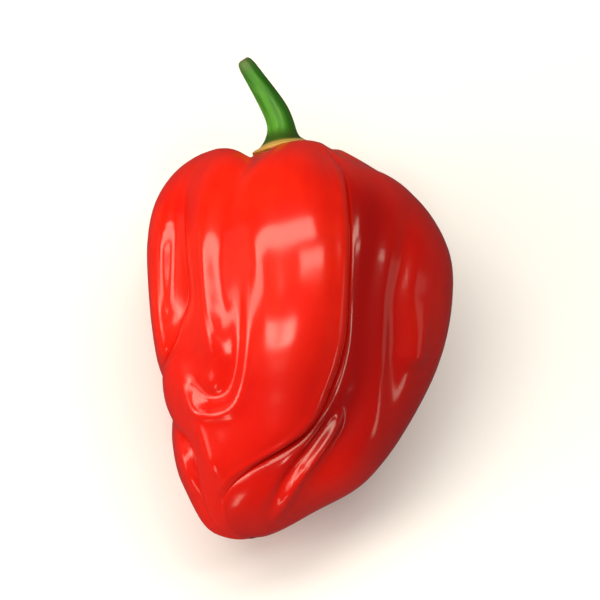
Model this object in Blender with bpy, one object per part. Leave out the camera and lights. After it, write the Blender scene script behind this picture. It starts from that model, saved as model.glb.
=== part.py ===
"""A scotch bonnet pepper, as picked: a folded red pod with its green calyx and stem, on its side.

Both pieces are made in the pod's own frame first: x across the pod, y out of the side that faces up, and
z down from the plane of the stem's seat to the tip. They are then laid down together, with the tip
towards -Y.
"""

import math
from collections import namedtuple

import bmesh
import bpy
import numpy as np

MM = 0.001

# Driving sizes
POD_LENGTH = 59.2 * MM
POD_HALF_WIDTH = 23.2 * MM
POD_THICKNESS_SHARE = 0.92
SEAT_RADIUS = 5.9 * MM
SEAT_BLEND_RADIUS = 14.0 * MM
SEAT_DEPTH = 0.8 * MM
SEAT_TILT = math.radians(10.0)
SEAT_GAP = 0.3 * MM
CALYX_ASIDE = 0.5 * MM
STEM_LENGTH = 15.9 * MM
STEM_RISE_AT_TIP = math.radians(8.0)
LYING_TILT = math.radians(8.0)
SIGHT_TILT = math.radians(10.0)
FLAT_DEPTH = 0.35 * MM
SHALLOW = 0.7 * MM
LIP_AT = 1.9 * MM
LIP_WIDTH = 1.0 * MM
LIP_FULL_DEPTH = 3.0 * MM
OVERHANG = 0.4 * MM
OVERHANG_FROM = (0.0, 0.7 * MM)
OVERHANG_TO = (1.2 * MM, 4.0 * MM)
LEAN_DEPTH = 4.0 * MM

# Where the smaller shapes begin and end: strokes, by the share of the way down the pod and by the height
# above its middle, and the calyx's teeth and the ribs above them, by the radius or by the distance along
# the stem
STROKES_FROM = (0.068, 0.088)
STROKES_ABOVE = (-2.0 * MM, 4.0 * MM)
TEETH_FROM_RADIUS = (4.0 * MM, 4.7 * MM)
TEETH_FROM = (0.1 * MM, 0.5 * MM)
RIBS_FROM = (0.9 * MM, 1.6 * MM)
RIBS_TO = (3.0 * MM, 5.5 * MM)

# Mesh: columns round the pod come from its lobes, and rows run from the seat to the tip. A stroke's path is
# followed in straight steps
POD_ROWS = 44
STROKE_STEPS = 32
STEM_COLUMNS = 40
STEM_ROWS = 36

# The envelope that the lobes reach to, from the seat's centre to the tip:
# shares of the half width and of the length
ENVELOPE = (
    (0.0, 0.0135),
    (0.21, 0.0135),
    (0.28, 0.008),
    (0.35, 0.002),
    (0.44, 0.005),
    (0.66, 0.048),
    (0.86, 0.138),
    (0.985, 0.270),
    (0.995, 0.405),
    (0.928, 0.565),
    (0.788, 0.715),
    (0.59, 0.862),
    (0.365, 0.943),
    (0.13, 0.990),
    (0.0, 1.0),
)

# Below, a place down the pod is its share of the way from the seat's centre to the tip along the envelope.
# A furrow has its angle in degrees from the side that faces up, rising to the right, and its depth in mm
# below the envelope, at such places. walls: how upright its left and right walls stand, where 1 is round,
# less is steeper and more is gentler. lip: mm that the edge of the lobe on its left side stands up beside
# it, where it also hangs over the furrow.
Furrow = namedtuple("Furrow", "name angle depth walls lip")

# A lobe lies between a furrow and the next one. columns: mesh columns across it. rise: mm above the
# envelope along the lobe's crown. lean: mm that the crown leans over to the right where the furrows are
# LEAN_DEPTH deep.
Lobe = namedtuple("Lobe", "name columns rise lean")

FURROWS = (
    Furrow(
        "left",
        ((0, -62), (0.12, -60), (0.25, -56), (0.40, -55), (0.50, -56), (0.56, -68), (0.61, -96),
         (0.65, -103), (0.69, -88), (0.73, -68), (0.80, -62), (0.88, -66), (1, -70)),
        ((0, 0), (0.15, 0), (0.25, 0.5), (0.32, 1.5), (0.40, 2.2), (0.50, 2.0), (0.57, 1.2), (0.63, 0.8),
         (0.69, 1.0), (0.75, 1.3), (0.82, 1.1), (0.92, 0.5), (1, 0)),
        (1.1, 1.0),
        0.0,
    ),
    Furrow(
        "main",
        ((0, 42), (0.12, 37), (0.25, 26), (0.40, 19), (0.50, 18.5), (0.58, 19.5), (0.65, 18), (0.74, 10),
         (0.80, -15), (0.86, -38), (0.92, -42), (1, -42)),
        ((0, 0), (0.08, 0), (0.12, 0.9), (0.18, 2.0), (0.25, 3.0), (0.40, 4.2), (0.50, 4.8), (0.65, 5.0),
         (0.74, 3.8), (0.80, 1.4), (0.86, 0.2), (0.92, 0), (1, 0)),
        (0.7, 0.85),
        0.35,
    ),
    Furrow(
        "right",
        ((0, 115), (0.25, 112), (0.45, 107), (0.60, 112), (0.74, 118), (0.88, 110), (1, 100)),
        ((0, 0), (0.07, 0), (0.12, 0.8), (0.25, 2.2), (0.45, 3.2), (0.65, 3.0), (0.80, 1.7),
         (0.90, 0.6), (1, 0)),
        (1.2, 1.4),
        0.0,
    ),
    Furrow(
        "under",
        ((0, 172), (0.25, 175), (0.50, 181), (0.70, 178), (0.85, 168), (1, 160)),
        ((0, 0), (0.07, 0), (0.12, 0.9), (0.25, 2.4), (0.50, 2.8), (0.70, 2.0), (0.85, 0.9), (1, 0)),
        (1.5, 1.7),
        0.0,
    ),
    Furrow(
        "back",
        ((0, 240), (0.25, 238), (0.50, 232), (0.65, 238), (0.80, 242), (1, 230)),
        ((0, 0), (0.07, 0), (0.12, 0.8), (0.25, 2.4), (0.45, 3.4), (0.65, 3.0), (0.80, 1.9),
         (0.90, 0.8), (1, 0)),
        (1.4, 1.1),
        0.0,
    ),
)

LOBES = (
    Lobe("crown", 24, ((0, 0), (0.10, -0.2), (0.25, 0.2), (0.50, 0.6), (0.65, 0.6), (0.80, 0), (1, 0)),
         0.9),
    Lobe("right", 24, ((0, 0), (0.08, -0.7), (0.12, -1.7), (0.17, -1.6), (0.25, -1.1), (0.36, -0.5),
                       (0.52, -0.8), (0.64, -0.8), (0.76, -0.3), (0.86, 0.3), (0.93, 0.3), (1, 0)), 0.0),
    Lobe("under_right", 14, ((0, 0), (0.15, 0), (0.30, 0.5), (0.50, 0.7), (0.65, 0.1), (1, 0)), 0.0),
    Lobe("under_left", 14, ((0, 0), (0.15, 0), (0.30, 0.5), (0.50, 0.7), (0.65, 0.1), (1, 0)), 0.0),
    Lobe("left", 20, ((0, 0), (0.10, 0), (0.20, 0.6), (0.40, 0.3), (0.60, 0), (1, 0)), 0.0),
)

# The pod bends: how far the middle of its cross-sections lies to the right, in mm, at shares of its length
BEND = ((0, -3.0), (0.10, -2.4), (0.35, -0.5), (0.60, -1.2), (0.75, -3.0), (0.85, -4.8), (0.94, -6.5),
        (1, -8.0))

# Smaller grooves and ridges, each along points of (mm to the right, mm down, mm deep) as they are seen from
# one side: 1 is the side that faces up, from where the pod is looked at, and -1 is the side that it lies
# on. A negative depth is a ridge.
Stroke = namedtuple("Stroke", "name side width points")

STROKES = (
    Stroke("crown_groove", 1, 1.8,
           ((-7.6, -1.5, 1.4), (-8.6, 0.0, 1.5), (-9.9, 2.5, 1.4), (-11.0, 5.0, 1.1),
            (-11.7, 8.5, 0.8), (-12.1, 13.0, 0.5), (-12.3, 18.0, 0.3), (-12.4, 23.0, 0.2))),
    Stroke("seat_dip", 1, 3.0,
           ((-8.2, -1.2, 1.0), (-6.4, -1.8, 1.2), (-4.4, -2.2, 0.8))),
    Stroke("far_shoulder", 1, 3.0,
           ((1.5, -0.6, 0.3), (4.2, 0.6, 1.4), (7.0, 1.8, 1.1), (10.5, 3.6, 0.4), (13.0, 5.5, 0.1))),
    Stroke("pocket_groove", 1, 1.3,
           ((-10.0, 21.0, 0.1), (-10.1, 27.0, 0.5), (-10.8, 33.0, 0.8), (-12.2, 36.2, 0.9),
            (-14.4, 37.0, 0.8), (-16.4, 35.6, 0.5))),
    Stroke("pocket_rim", 1, 1.0,
           ((-8.8, 20.0, -0.1), (-8.8, 27.0, -0.4), (-9.3, 33.5, -0.5), (-10.6, 37.9, -0.5),
            (-13.6, 39.4, -0.4), (-16.6, 38.6, -0.5), (-17.8, 35.4, -0.4))),
    Stroke("right_groove", 1, 1.4,
           ((15.2, 8.0, 0.1), (14.9, 12.5, 0.5), (14.2, 17.5, 0.8), (13.3, 23.0, 0.9),
            (13.1, 29.0, 0.9), (12.7, 35.0, 0.7), (11.8, 41.0, 0.2))),
    Stroke("right_hollow", 1, 3.2,
           ((11.0, 7.0, 0.2), (10.8, 11.0, 0.9), (10.6, 15.0, 1.4), (10.0, 20.0, 1.6),
            (9.4, 25.0, 1.6), (9.0, 30.5, 1.5), (8.2, 36.0, 1.5), (6.6, 40.0, 1.7),
            (4.2, 44.5, 1.7), (1.2, 49.0, 1.2), (-1.8, 53.0, 0.4))),
    Stroke("right_ridge", 1, 1.5,
           ((16.6, 24.0, -0.2), (16.2, 28.0, -0.7), (15.6, 31.0, -1.0))),
    Stroke("low_ridge", 1, 0.95,
           ((5.0, 40.2, -0.3), (4.3, 41.8, -0.8), (2.1, 44.8, -1.0), (-0.4, 47.8, -1.0),
            (-2.5, 50.7, -0.9), (-4.6, 54.5, -0.3))),
    Stroke("low_valley", 1, 0.95,
           ((4.0, 39.4, 0.2), (3.3, 41.0, 0.6), (1.1, 44.0, 0.8), (-1.4, 47.0, 0.8),
            (-3.5, 49.9, 0.7), (-5.6, 53.7, 0.2))),
    Stroke("under_right_groove", -1, 2.3,
           ((9.5, 6.0, 0.4), (11.5, 14.0, 1.1), (12.0, 23.0, 1.1), (10.5, 33.0, 0.6),
            (7.5, 41.0, 0.2))),
    Stroke("under_left_groove", -1, 2.0,
           ((-11.5, 10.0, 0.2), (-12.0, 18.0, 0.9), (-11.0, 28.0, 0.9), (-9.0, 37.0, 0.5),
            (-8.0, 43.0, 0.1))),
    Stroke("under_low_dent", -1, 3.2,
           ((0.5, 40.0, 0.3), (0.0, 45.0, 0.9), (-2.0, 50.0, 0.5))),
)

# Swells that are lifted towards where the pod is looked at, so its outline from there stays the same
SWELLS = (
    Stroke("left_lobe", 1, 3.7,
           ((-22.0, 3.0, -0.9), (-22.9, 8.0, -2.8), (-23.6, 14.0, -4.3), (-23.8, 20.0, -4.8),
            (-23.7, 26.0, -4.9), (-23.1, 31.0, -4.2), (-22.3, 35.0, -2.2), (-21.6, 38.0, -0.6))),
    Stroke("left_furrow_side", 1, 1.5,
           ((-19.0, 6.0, 0.2), (-19.6, 11.0, 0.5), (-19.8, 17.0, 0.6), (-19.9, 23.0, 0.5),
            (-20.2, 28.0, 0.2))),
    Stroke("left_of_crown", 1, 2.0,
           ((-14.6, 3.0, -0.5), (-15.7, 7.0, -1.0), (-16.3, 11.7, -1.5), (-16.1, 17.2, -2.0),
            (-15.5, 22.5, -2.2), (-14.6, 27.5, -1.8), (-13.8, 30.5, -0.7))),
    Stroke("crown_shoulder", 1, 2.0,
           ((-7.6, 9.0, -0.1), (-7.5, 14.0, -0.4), (-7.4, 20.0, -0.5), (-7.4, 27.0, -0.4),
            (-7.9, 33.0, -0.2))),
    Stroke("far_right_lobe", 1, 4.2,
           ((17.5, 6.0, 0.3), (17.0, 12.0, 1.0), (16.6, 20.0, 1.4), (16.4, 28.0, 1.4),
            (15.6, 35.0, 1.0), (14.0, 41.0, 0.3))),
    Stroke("low_crown", 1, 2.0,
           ((-17.6, 37.0, -0.5), (-16.4, 41.0, -1.3), (-14.8, 45.5, -1.3), (-13.2, 49.0, -0.5))),
    Stroke("low_left_lobe", 1, 1.5,
           ((-20.2, 41.0, -0.9), (-19.4, 44.4, -1.8), (-18.2, 48.1, -1.8), (-17.0, 51.0, -0.8))),
)

# The calyx and stem, from the middle of the calyx's underside to the middle of the stem's cut end:
# (mm along the stem, mm of radius)
STEM_OUTLINE = (
    (0.0, 0.0),
    (0.0, 2.9),
    (0.0, 4.2),
    (0.12, 4.6),
    (0.38, 4.75),
    (0.68, 4.5),
    (1.05, 3.9),
    (1.5, 3.25),
    (2.1, 2.7),
    (3.0, 2.3),
    (4.2, 2.12),
    (5.6, 2.05),
    (7.5, 1.94),
    (9.6, 1.78),
    (11.7, 1.6),
    (13.6, 1.45),
    (14.9, 1.32),
    (15.5, 1.15),
    (15.9, 0.8),
    (15.85, 0.0),
)

# How far the stem leans to the left, in degrees, at mm along it
STEM_LEAN = ((0, 10), (1.4, 9), (2.6, 5), (3.8, 8), (5.2, 18), (6.8, 27), (9.4, 32), (12.0, 33),
             (15.9, 34))

CALYX_TEETH = 5
TOOTH_SIZE = 0.35 * MM
RIB_HEIGHT = 0.12 * MM


def through(points, at):
    """The smooth curve through points of (place, value), read at other places."""
    places, values = np.array(points, float).T
    slopes = np.gradient(values, places)
    k = np.clip(np.searchsorted(places, at) - 1, 0, len(places) - 2)
    span = places[k + 1] - places[k]
    t = np.clip((at - places[k]) / span, 0.0, 1.0)
    start = (2 * t**3 - 3 * t**2 + 1) * values[k] + (t**3 - 2 * t**2 + t) * span * slopes[k]
    end = (3 * t**2 - 2 * t**3) * values[k + 1] + (t**3 - t**2) * span * slopes[k + 1]
    return start + end


def along_outline(outline, share):
    """The two coordinates of an outline at shares of its length."""
    outline = np.array(outline, float)
    way = np.concatenate(([0.0], np.cumsum(np.hypot(*np.diff(outline, axis=0).T))))
    way = way / way[-1]
    first = through(np.stack([way, outline[:, 0]], axis=1), share)
    return first, through(np.stack([way, outline[:, 1]], axis=1), share)


def envelope(fall):
    """Radius and depth of the envelope and its outward normal (out, down), at shares of the way down it."""
    outline = np.array(ENVELOPE) * (POD_HALF_WIDTH, POD_LENGTH)
    radius, depth = along_outline(outline, fall)
    before = along_outline(outline, np.clip(fall - 1e-3, 0.0, 1.0))
    after = along_outline(outline, np.clip(fall + 1e-3, 0.0, 1.0))
    out, down = after[0] - before[0], after[1] - before[1]
    size = np.hypot(out, down)
    return radius, depth, down / size, -out / size


def smooth_step(low, high, value):
    t = np.clip((value - low) / (high - low), 0.0, 1.0)
    return t * t * (3 - 2 * t)


def lobed_points(lobe, share, fall):
    """The pod's large folds, and the outward direction of the envelope at each point.

    lobe: its number; share: 0 to 1 across it; fall: 0 at the seat to 1 at the tip.
    """
    here = np.arange(len(lobe))
    following = (lobe + 1) % len(LOBES)
    angles = np.array([through(f.angle, fall) for f in FURROWS])
    depths = np.array([through(f.depth, fall) for f in FURROWS]) * MM
    rises = np.array([through(l.rise, fall) for l in LOBES]) * MM
    right_end = angles[following, here] + np.where(following == 0, 360.0, 0.0)
    angle = np.radians(angles[lobe, here] * (1 - share) + right_end * share)
    depth = depths[lobe, here] * (1 - share) + depths[following, here] * share
    walls = np.array([f.walls for f in FURROWS])
    wall = walls[lobe, 1] * (1 - share) + walls[following, 0] * share
    wall = wall * (1 + 2 * np.exp(-depth / SHALLOW))
    swell = 2 * np.sqrt(np.clip(share * (1 - share), 0.0, None))
    radius, down, out, sink = envelope(fall)
    lips = np.array([f.lip for f in FURROWS])[following] * MM
    beside = (1 - share) * radius * np.radians(right_end - angles[lobe, here])
    lift = rises[lobe, here] * swell**2 - depth * (1 - swell**wall)
    deep = smooth_step(0, LIP_FULL_DEPTH, depth)
    lift = lift + lips * deep * np.exp(-(((beside - LIP_AT) / LIP_WIDTH) ** 2))
    radius = radius + lift * out
    down = down + lift * sink
    lean = np.array([l.lean for l in LOBES])[lobe] * MM * depth / LEAN_DEPTH * swell**2
    over = OVERHANG * (lips > 0) * deep * smooth_step(*OVERHANG_FROM, beside)
    lean = lean + over * (1 - smooth_step(*OVERHANG_TO, beside))
    x = radius * np.sin(angle) + lean * np.cos(angle)
    y = radius * np.cos(angle) - lean * np.sin(angle)
    seat_tilt = math.tan(SEAT_TILT) * (1 - smooth_step(SEAT_RADIUS, SEAT_BLEND_RADIUS, radius))
    down = down - seat_tilt * x
    x = x + through(BEND, down / POD_LENGTH) * MM
    outward = np.stack([out * np.sin(angle), out * np.cos(angle), sink], axis=1)
    return np.stack([x, y * POD_THICKNESS_SHARE, down], axis=1), outward


def stroke_depth(stroke, points):
    """How deep a stroke goes at points of the pod, in metres."""
    sight = SIGHT_TILT if stroke.side > 0 else 0.0
    across = points[:, 0]
    down = points[:, 2] * math.cos(sight) - points[:, 1] * math.sin(sight)
    marks = np.array(stroke.points) * MM
    at = np.linspace(0, 1, len(marks))
    steps = np.linspace(0, 1, STROKE_STEPS)
    path = np.stack([through(np.stack([at, values], axis=1), steps) for values in marks.T], axis=1)
    depth = np.zeros(len(points))
    for (x, z, start), (x_way, z_way, change) in zip(path[:-1], np.diff(path, axis=0)):
        reach = ((across - x) * x_way + (down - z) * z_way) / (x_way**2 + z_way**2)
        reach = np.clip(reach, 0.0, 1.0)
        apart = (across - x - reach * x_way) ** 2 + (down - z - reach * z_way) ** 2
        here = (start + reach * change) * np.exp(-apart / (stroke.width * MM) ** 2)
        depth = np.where(abs(here) > abs(depth), here, depth)
    return depth * smooth_step(*STROKES_ABOVE, points[:, 1] * stroke.side)


def pod_surface(lobe, share, fall):
    """Points of the pod in its own frame."""
    points, outward = lobed_points(lobe, share, fall)
    depth = sum(stroke_depth(stroke, points) for stroke in STROKES) * smooth_step(*STROKES_FROM, fall)
    lifted = sum(stroke_depth(stroke, points) for stroke in SWELLS)
    sight = np.array([0.0, math.cos(SIGHT_TILT), math.sin(SIGHT_TILT)])
    return points - outward * depth[:, None] - sight * lifted[:, None]


def laid_down(points):
    """From the pod's own frame to how it lies: its upper side up and its tip towards -Y and lower."""
    x, y, z = points.T
    cos, sin = math.cos(LYING_TILT), math.sin(LYING_TILT)
    return np.stack([x, -z * cos - y * sin, y * cos - z * sin], axis=1)


def columns_to_lobes(column, finer=1):
    """The lobe that a mesh column lies in, and how far across it: closer together by the furrows."""
    ends = np.cumsum([0] + [l.columns * finer for l in LOBES])
    lobe = np.searchsorted(ends, column, side="right") - 1
    even = (column - ends[lobe]) / (ends[lobe + 1] - ends[lobe])
    return lobe, (1 - np.cos(math.pi * even)) / 2


def stem_surface(turn, share):
    """Points of the calyx and stem in the pod's frame.

    turn: angle round the stem; share: 0 at the middle of its underside, 1 at the middle of its cut end.
    """
    along, radius = along_outline(np.array(STEM_OUTLINE) * MM, share)
    tooth = (0.5 + 0.5 * np.cos(CALYX_TEETH * turn)) ** 3
    on_rim = smooth_step(*TEETH_FROM_RADIUS, radius) * smooth_step(*TEETH_FROM, along)
    on_top = smooth_step(*RIBS_FROM, along) * (1 - smooth_step(*RIBS_TO, along))
    radius = radius + on_rim * TOOTH_SIZE * tooth + on_top * RIB_HEIGHT * tooth
    steps = np.linspace(0.0, STEM_LENGTH, 80)
    lean = np.radians(through(STEM_LEAN, steps / MM))
    rise = STEM_RISE_AT_TIP * smooth_step(0.1, 1.0, steps / STEM_LENGTH)
    step = steps[1]
    x_way = np.concatenate(([0.0], np.cumsum(-np.sin(lean[1:]) * step)))
    y_way = np.concatenate(([0.0], np.cumsum(np.sin(rise[1:]) * step)))
    z_way = np.concatenate(([0.0], np.cumsum(-np.cos(lean[1:]) * np.cos(rise[1:]) * step)))
    leans = np.interp(along, steps, lean)
    rises = np.interp(along, steps, rise)
    across = radius * np.sin(turn)
    toward = radius * np.cos(turn)
    x = np.interp(along, steps, x_way) + across * np.cos(leans)
    y = np.interp(along, steps, y_way) + toward * np.cos(rises)
    z = np.interp(along, steps, z_way) - across * np.sin(leans) + toward * np.sin(rises)
    middle = BEND[0][1] * MM - CALYX_ASIDE
    sink = SEAT_DEPTH + CALYX_ASIDE * math.tan(SEAT_TILT)
    x = x + middle - SEAT_GAP * math.sin(SEAT_TILT)
    z = z + sink - SEAT_GAP * math.cos(SEAT_TILT)
    return np.stack([x, y, z], axis=1)


def sphere_grid(columns, rows):
    """A round mesh whose vertices are then moved, with each vertex's column and row."""
    bm = bmesh.new()
    bmesh.ops.create_uvsphere(bm, u_segments=columns, v_segments=rows, radius=1.0)
    x, y, z = np.array([v.co for v in bm.verts]).T
    column = np.round(np.arctan2(y, x) / (2 * math.pi) * columns).astype(int) % columns
    row = np.round(np.arccos(np.clip(z, -1.0, 1.0)) / math.pi * rows)
    return bm, column, row


def material(name, colour, roughness):
    made = bpy.data.materials.new(name)
    made.use_nodes = True
    shader = made.node_tree.nodes["Principled BSDF"]
    shader.inputs["Base Color"].default_value = (*colour, 1.0)
    shader.inputs["Roughness"].default_value = roughness
    shader.inputs["Metallic"].default_value = 0.0
    return made


def add_object(name, bm, points, finish):
    for vertex, point in zip(bm.verts, points):
        vertex.co = point
    bm.normal_update()
    bmesh.ops.recalc_face_normals(bm, faces=bm.faces)
    mesh = bpy.data.meshes.new(name)
    bm.to_mesh(mesh)
    bm.free()
    mesh.shade_smooth()
    mesh.materials.append(finish)
    made = bpy.data.objects.new(name, mesh)
    bpy.context.scene.collection.objects.link(made)
    return made


def build():
    columns = sum(l.columns for l in LOBES)
    pod_mesh, column, row = sphere_grid(columns, POD_ROWS)
    lobe, share = columns_to_lobes(column)
    pod = laid_down(pod_surface(lobe, share, row / POD_ROWS))
    stem_mesh, column, row = sphere_grid(STEM_COLUMNS, STEM_ROWS)
    stem = laid_down(stem_surface(2 * math.pi * column / STEM_COLUMNS, 1 - row / STEM_ROWS))
    both = np.concatenate([pod, stem])
    middle = (both.min(axis=0) + both.max(axis=0)) / 2
    floor = (middle[0], middle[1], pod[:, 2].min() + FLAT_DEPTH)
    pod = pod - floor
    pod[:, 2] = np.maximum(pod[:, 2], 0.0)
    add_object("pod", pod_mesh, pod, material("pod_skin", (0.72, 0.012, 0.008), 0.2))
    add_object("stem_calyx", stem_mesh, stem - floor, material("stem_skin", (0.10, 0.30, 0.03), 0.45))


for old in list(bpy.data.objects):
    bpy.data.objects.remove(old)
build()
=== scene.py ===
"""A scotch bonnet pepper on a pale floor: its fine skin, calyx and stem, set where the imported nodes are.

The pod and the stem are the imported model's own shapes, made with a finer mesh. Both are made in the pod's
own frame first: x across the pod, y out of the side that faces up, and z down from the plane of the stem's
seat to the tip. They are then laid down together, with the tip towards -Y.
"""

import math
from collections import namedtuple

import bmesh
import bpy
import numpy as np
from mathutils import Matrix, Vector, noise


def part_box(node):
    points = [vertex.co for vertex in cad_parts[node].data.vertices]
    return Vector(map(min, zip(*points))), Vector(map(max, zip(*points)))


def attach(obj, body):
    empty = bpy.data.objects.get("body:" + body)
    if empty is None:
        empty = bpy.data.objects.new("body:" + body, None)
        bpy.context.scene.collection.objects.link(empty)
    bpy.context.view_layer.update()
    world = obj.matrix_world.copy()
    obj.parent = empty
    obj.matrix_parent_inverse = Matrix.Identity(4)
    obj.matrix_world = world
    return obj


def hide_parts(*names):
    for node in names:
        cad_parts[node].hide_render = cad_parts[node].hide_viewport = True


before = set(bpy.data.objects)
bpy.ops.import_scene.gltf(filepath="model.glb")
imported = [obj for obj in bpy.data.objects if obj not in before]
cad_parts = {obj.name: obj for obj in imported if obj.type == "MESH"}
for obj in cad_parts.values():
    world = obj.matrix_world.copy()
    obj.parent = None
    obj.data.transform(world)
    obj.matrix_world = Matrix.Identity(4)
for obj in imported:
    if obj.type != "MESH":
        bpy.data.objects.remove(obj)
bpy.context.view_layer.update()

MM = 0.001

# Driving sizes
POD_LENGTH = 59.2 * MM
POD_HALF_WIDTH = 23.2 * MM
POD_THICKNESS_SHARE = 0.92
SEAT_RADIUS = 5.9 * MM
SEAT_BLEND_RADIUS = 14.0 * MM
SEAT_DEPTH = 0.8 * MM
SEAT_TILT = math.radians(10.0)
SEAT_GAP = 0.3 * MM
CALYX_ASIDE = 0.5 * MM
STEM_LENGTH = 15.9 * MM
STEM_RISE_AT_TIP = math.radians(8.0)
LYING_TILT = math.radians(8.0)
SIGHT_TILT = math.radians(10.0)
SHALLOW = 0.7 * MM
LIP_AT = 1.9 * MM
LIP_WIDTH = 1.0 * MM
LIP_FULL_DEPTH = 3.0 * MM
OVERHANG = 0.4 * MM
OVERHANG_FROM = (0.0, 0.7 * MM)
OVERHANG_TO = (1.2 * MM, 4.0 * MM)
LEAN_DEPTH = 4.0 * MM

# Where the smaller shapes begin and end: strokes, by the share of the way down the pod and by the height
# above its middle, and the calyx's teeth and the ribs above them, by the radius or by the distance along
# the stem
STROKES_FROM = (0.068, 0.088)
STROKES_ABOVE = (-2.0 * MM, 4.0 * MM)
TEETH_FROM_RADIUS = (4.0 * MM, 4.7 * MM)
TEETH_FROM = (0.1 * MM, 0.5 * MM)
RIBS_FROM = (0.9 * MM, 1.6 * MM)
RIBS_TO = (3.0 * MM, 5.5 * MM)

# Mesh: columns round the pod come from its lobes, and rows run from the seat to the tip. A stroke's path
# and the stem's bend are followed in straight steps
POD_ROWS = 44
STROKE_STEPS = 32
STEM_STEPS = 80
STEM_COLUMNS = 40
STEM_ROWS = 36

# The envelope that the lobes reach to, from the seat's centre to the tip:
# shares of the half width and of the length
ENVELOPE = (
    (0.0, 0.0135),
    (0.21, 0.0135),
    (0.28, 0.008),
    (0.35, 0.002),
    (0.44, 0.005),
    (0.66, 0.048),
    (0.86, 0.138),
    (0.985, 0.270),
    (0.995, 0.405),
    (0.928, 0.565),
    (0.788, 0.715),
    (0.59, 0.862),
    (0.365, 0.943),
    (0.13, 0.990),
    (0.0, 1.0),
)

# Below, a place down the pod is its share of the way from the seat's centre to the tip along the envelope.
# A furrow has its angle in degrees from the side that faces up, rising to the right, and its depth in mm
# below the envelope, at such places. walls: how upright its left and right walls stand, where 1 is round,
# less is steeper and more is gentler. lip: mm that the edge of the lobe on its left side stands up beside
# it, where it also hangs over the furrow.
Furrow = namedtuple("Furrow", "name angle depth walls lip")

# A lobe lies between a furrow and the next one. columns: mesh columns across it. rise: mm above the
# envelope along the lobe's crown. lean: mm that the crown leans over to the right where the furrows are
# LEAN_DEPTH deep.
Lobe = namedtuple("Lobe", "name columns rise lean")

FURROWS = (
    Furrow(
        "left",
        ((0, -62), (0.12, -60), (0.25, -56), (0.40, -55), (0.50, -56), (0.56, -68), (0.61, -96),
         (0.65, -103), (0.69, -88), (0.73, -68), (0.80, -62), (0.88, -66), (1, -70)),
        ((0, 0), (0.15, 0), (0.25, 0.5), (0.32, 1.5), (0.40, 2.2), (0.50, 2.0), (0.57, 1.2), (0.63, 0.8),
         (0.69, 1.0), (0.75, 1.3), (0.82, 1.1), (0.92, 0.5), (1, 0)),
        (1.1, 1.0),
        0.0,
    ),
    Furrow(
        "main",
        ((0, 42), (0.12, 37), (0.25, 26), (0.40, 19), (0.50, 18.5), (0.58, 19.5), (0.65, 18), (0.74, 10),
         (0.80, -15), (0.86, -38), (0.92, -42), (1, -42)),
        ((0, 0), (0.08, 0), (0.12, 0.9), (0.18, 2.0), (0.25, 3.0), (0.40, 4.2), (0.50, 4.8), (0.65, 5.0),
         (0.74, 3.8), (0.80, 1.4), (0.86, 0.2), (0.92, 0), (1, 0)),
        (0.7, 0.85),
        0.35,
    ),
    Furrow(
        "right",
        ((0, 115), (0.25, 112), (0.45, 107), (0.60, 112), (0.74, 118), (0.88, 110), (1, 100)),
        ((0, 0), (0.07, 0), (0.12, 0.8), (0.25, 2.2), (0.45, 3.2), (0.65, 3.0), (0.80, 1.7),
         (0.90, 0.6), (1, 0)),
        (1.2, 1.4),
        0.0,
    ),
    Furrow(
        "under",
        ((0, 172), (0.25, 175), (0.50, 181), (0.70, 178), (0.85, 168), (1, 160)),
        ((0, 0), (0.07, 0), (0.12, 0.9), (0.25, 2.4), (0.50, 2.8), (0.70, 2.0), (0.85, 0.9), (1, 0)),
        (1.5, 1.7),
        0.0,
    ),
    Furrow(
        "back",
        ((0, 240), (0.25, 238), (0.50, 232), (0.65, 238), (0.80, 242), (1, 230)),
        ((0, 0), (0.07, 0), (0.12, 0.8), (0.25, 2.4), (0.45, 3.4), (0.65, 3.0), (0.80, 1.9),
         (0.90, 0.8), (1, 0)),
        (1.4, 1.1),
        0.0,
    ),
)

LOBES = (
    Lobe("crown", 24, ((0, 0), (0.10, -0.2), (0.25, 0.2), (0.50, 0.6), (0.65, 0.6), (0.80, 0), (1, 0)),
         0.9),
    Lobe("right", 24, ((0, 0), (0.08, -0.7), (0.12, -1.7), (0.17, -1.6), (0.25, -1.1), (0.36, -0.5),
                       (0.52, -0.8), (0.64, -0.8), (0.76, -0.3), (0.86, 0.3), (0.93, 0.3), (1, 0)), 0.0),
    Lobe("under_right", 14, ((0, 0), (0.15, 0), (0.30, 0.5), (0.50, 0.7), (0.65, 0.1), (1, 0)), 0.0),
    Lobe("under_left", 14, ((0, 0), (0.15, 0), (0.30, 0.5), (0.50, 0.7), (0.65, 0.1), (1, 0)), 0.0),
    Lobe("left", 20, ((0, 0), (0.10, 0), (0.20, 0.6), (0.40, 0.3), (0.60, 0), (1, 0)), 0.0),
)

# The pod bends: how far the middle of its cross-sections lies to the right, in mm, at shares of its length
BEND = ((0, -3.0), (0.10, -2.4), (0.35, -0.5), (0.60, -1.2), (0.75, -3.0), (0.85, -4.8), (0.94, -6.5),
        (1, -8.0))

# Smaller grooves and ridges, each along points of (mm to the right, mm down, mm deep) as they are seen
# from one side: 1 is the side that faces up, from where the pod is looked at, and -1 is the side that it
# lies on. A negative depth is a ridge.
Stroke = namedtuple("Stroke", "name side width points")

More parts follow.
